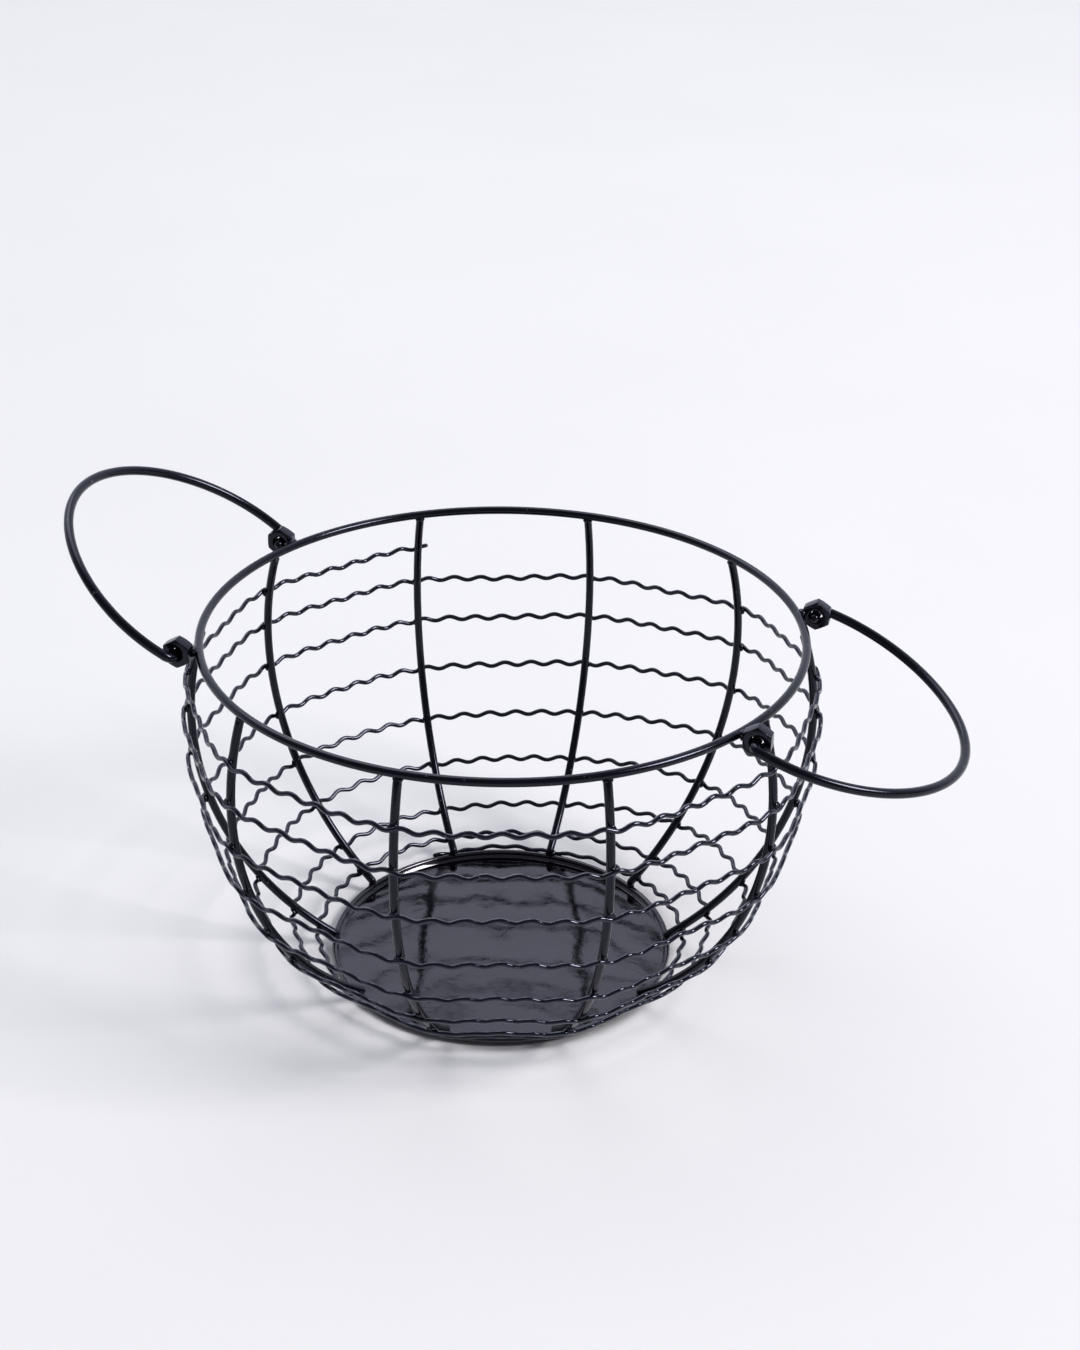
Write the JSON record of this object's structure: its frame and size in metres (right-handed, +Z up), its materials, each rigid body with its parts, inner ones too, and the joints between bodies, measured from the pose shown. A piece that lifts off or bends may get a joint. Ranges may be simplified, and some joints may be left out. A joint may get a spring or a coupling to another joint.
{
  "type": "wire produce basket",
  "caption": "Round open-wire basket with bowed ribs, a crimped wire wound round them, a shallow tray base and two swinging bail handles.",
  "frame": {"origin": "centre of the tray's flat underside, on the surface the basket stands on", "axes": "+Z up out of the bowl, +X through the middle of the right handle, with the left handle 1.8 degrees off -X, and Y along the right handle's hinge line"},
  "size_m": [0.3822, 0.2705, 0.2012],
  "materials": {
    "black_coat_wire": "gloss black powder coat over steel wire",
    "black_coat_tray": "gloss black powder coat over steel sheet"
  },
  "bodies": {
    "basket": {"rim_ring": "black_coat_wire", "rib_1": "black_coat_wire", "rib_2": "black_coat_wire", "rib_3": "black_coat_wire", "rib_4": "black_coat_wire", "rib_5": "black_coat_wire", "rib_6": "black_coat_wire", "rib_7": "black_coat_wire", "rib_8": "black_coat_wire", "rib_9": "black_coat_wire", "rib_10": "black_coat_wire", "base_tray": "black_coat_tray", "crimped_turn_1": "black_coat_wire", "crimped_turn_2": "black_coat_wire", "crimped_turn_3": "black_coat_wire", "crimped_turn_4": "black_coat_wire", "crimped_turn_5": "black_coat_wire", "crimped_turn_6": "black_coat_wire", "crimped_turn_7": "black_coat_wire", "crimped_turn_8": "black_coat_wire", "nut_right_back": "black_coat_wire", "nut_right_front": "black_coat_wire", "nut_left_back": "black_coat_wire", "nut_left_front": "black_coat_wire"},
    "handle_right": {"handle_right": "black_coat_wire"},
    "handle_left": {"handle_left": "black_coat_wire"}
  },
  "joints": [
    {"name": "handle_right_hinge", "type": "hinge", "parent": "basket", "child": "handle_right", "pos_m": [0.12033, 0, 0.157], "axis": [0, -1, 0], "range_deg": [-55, 175]},
    {"name": "handle_left_hinge", "type": "hinge", "parent": "basket", "child": "handle_left", "pos_m": [-0.12027, -0.00378, 0.157], "axis": [-0.0314, 0.9995, 0], "range_deg": [-108, 122]}
  ]
}
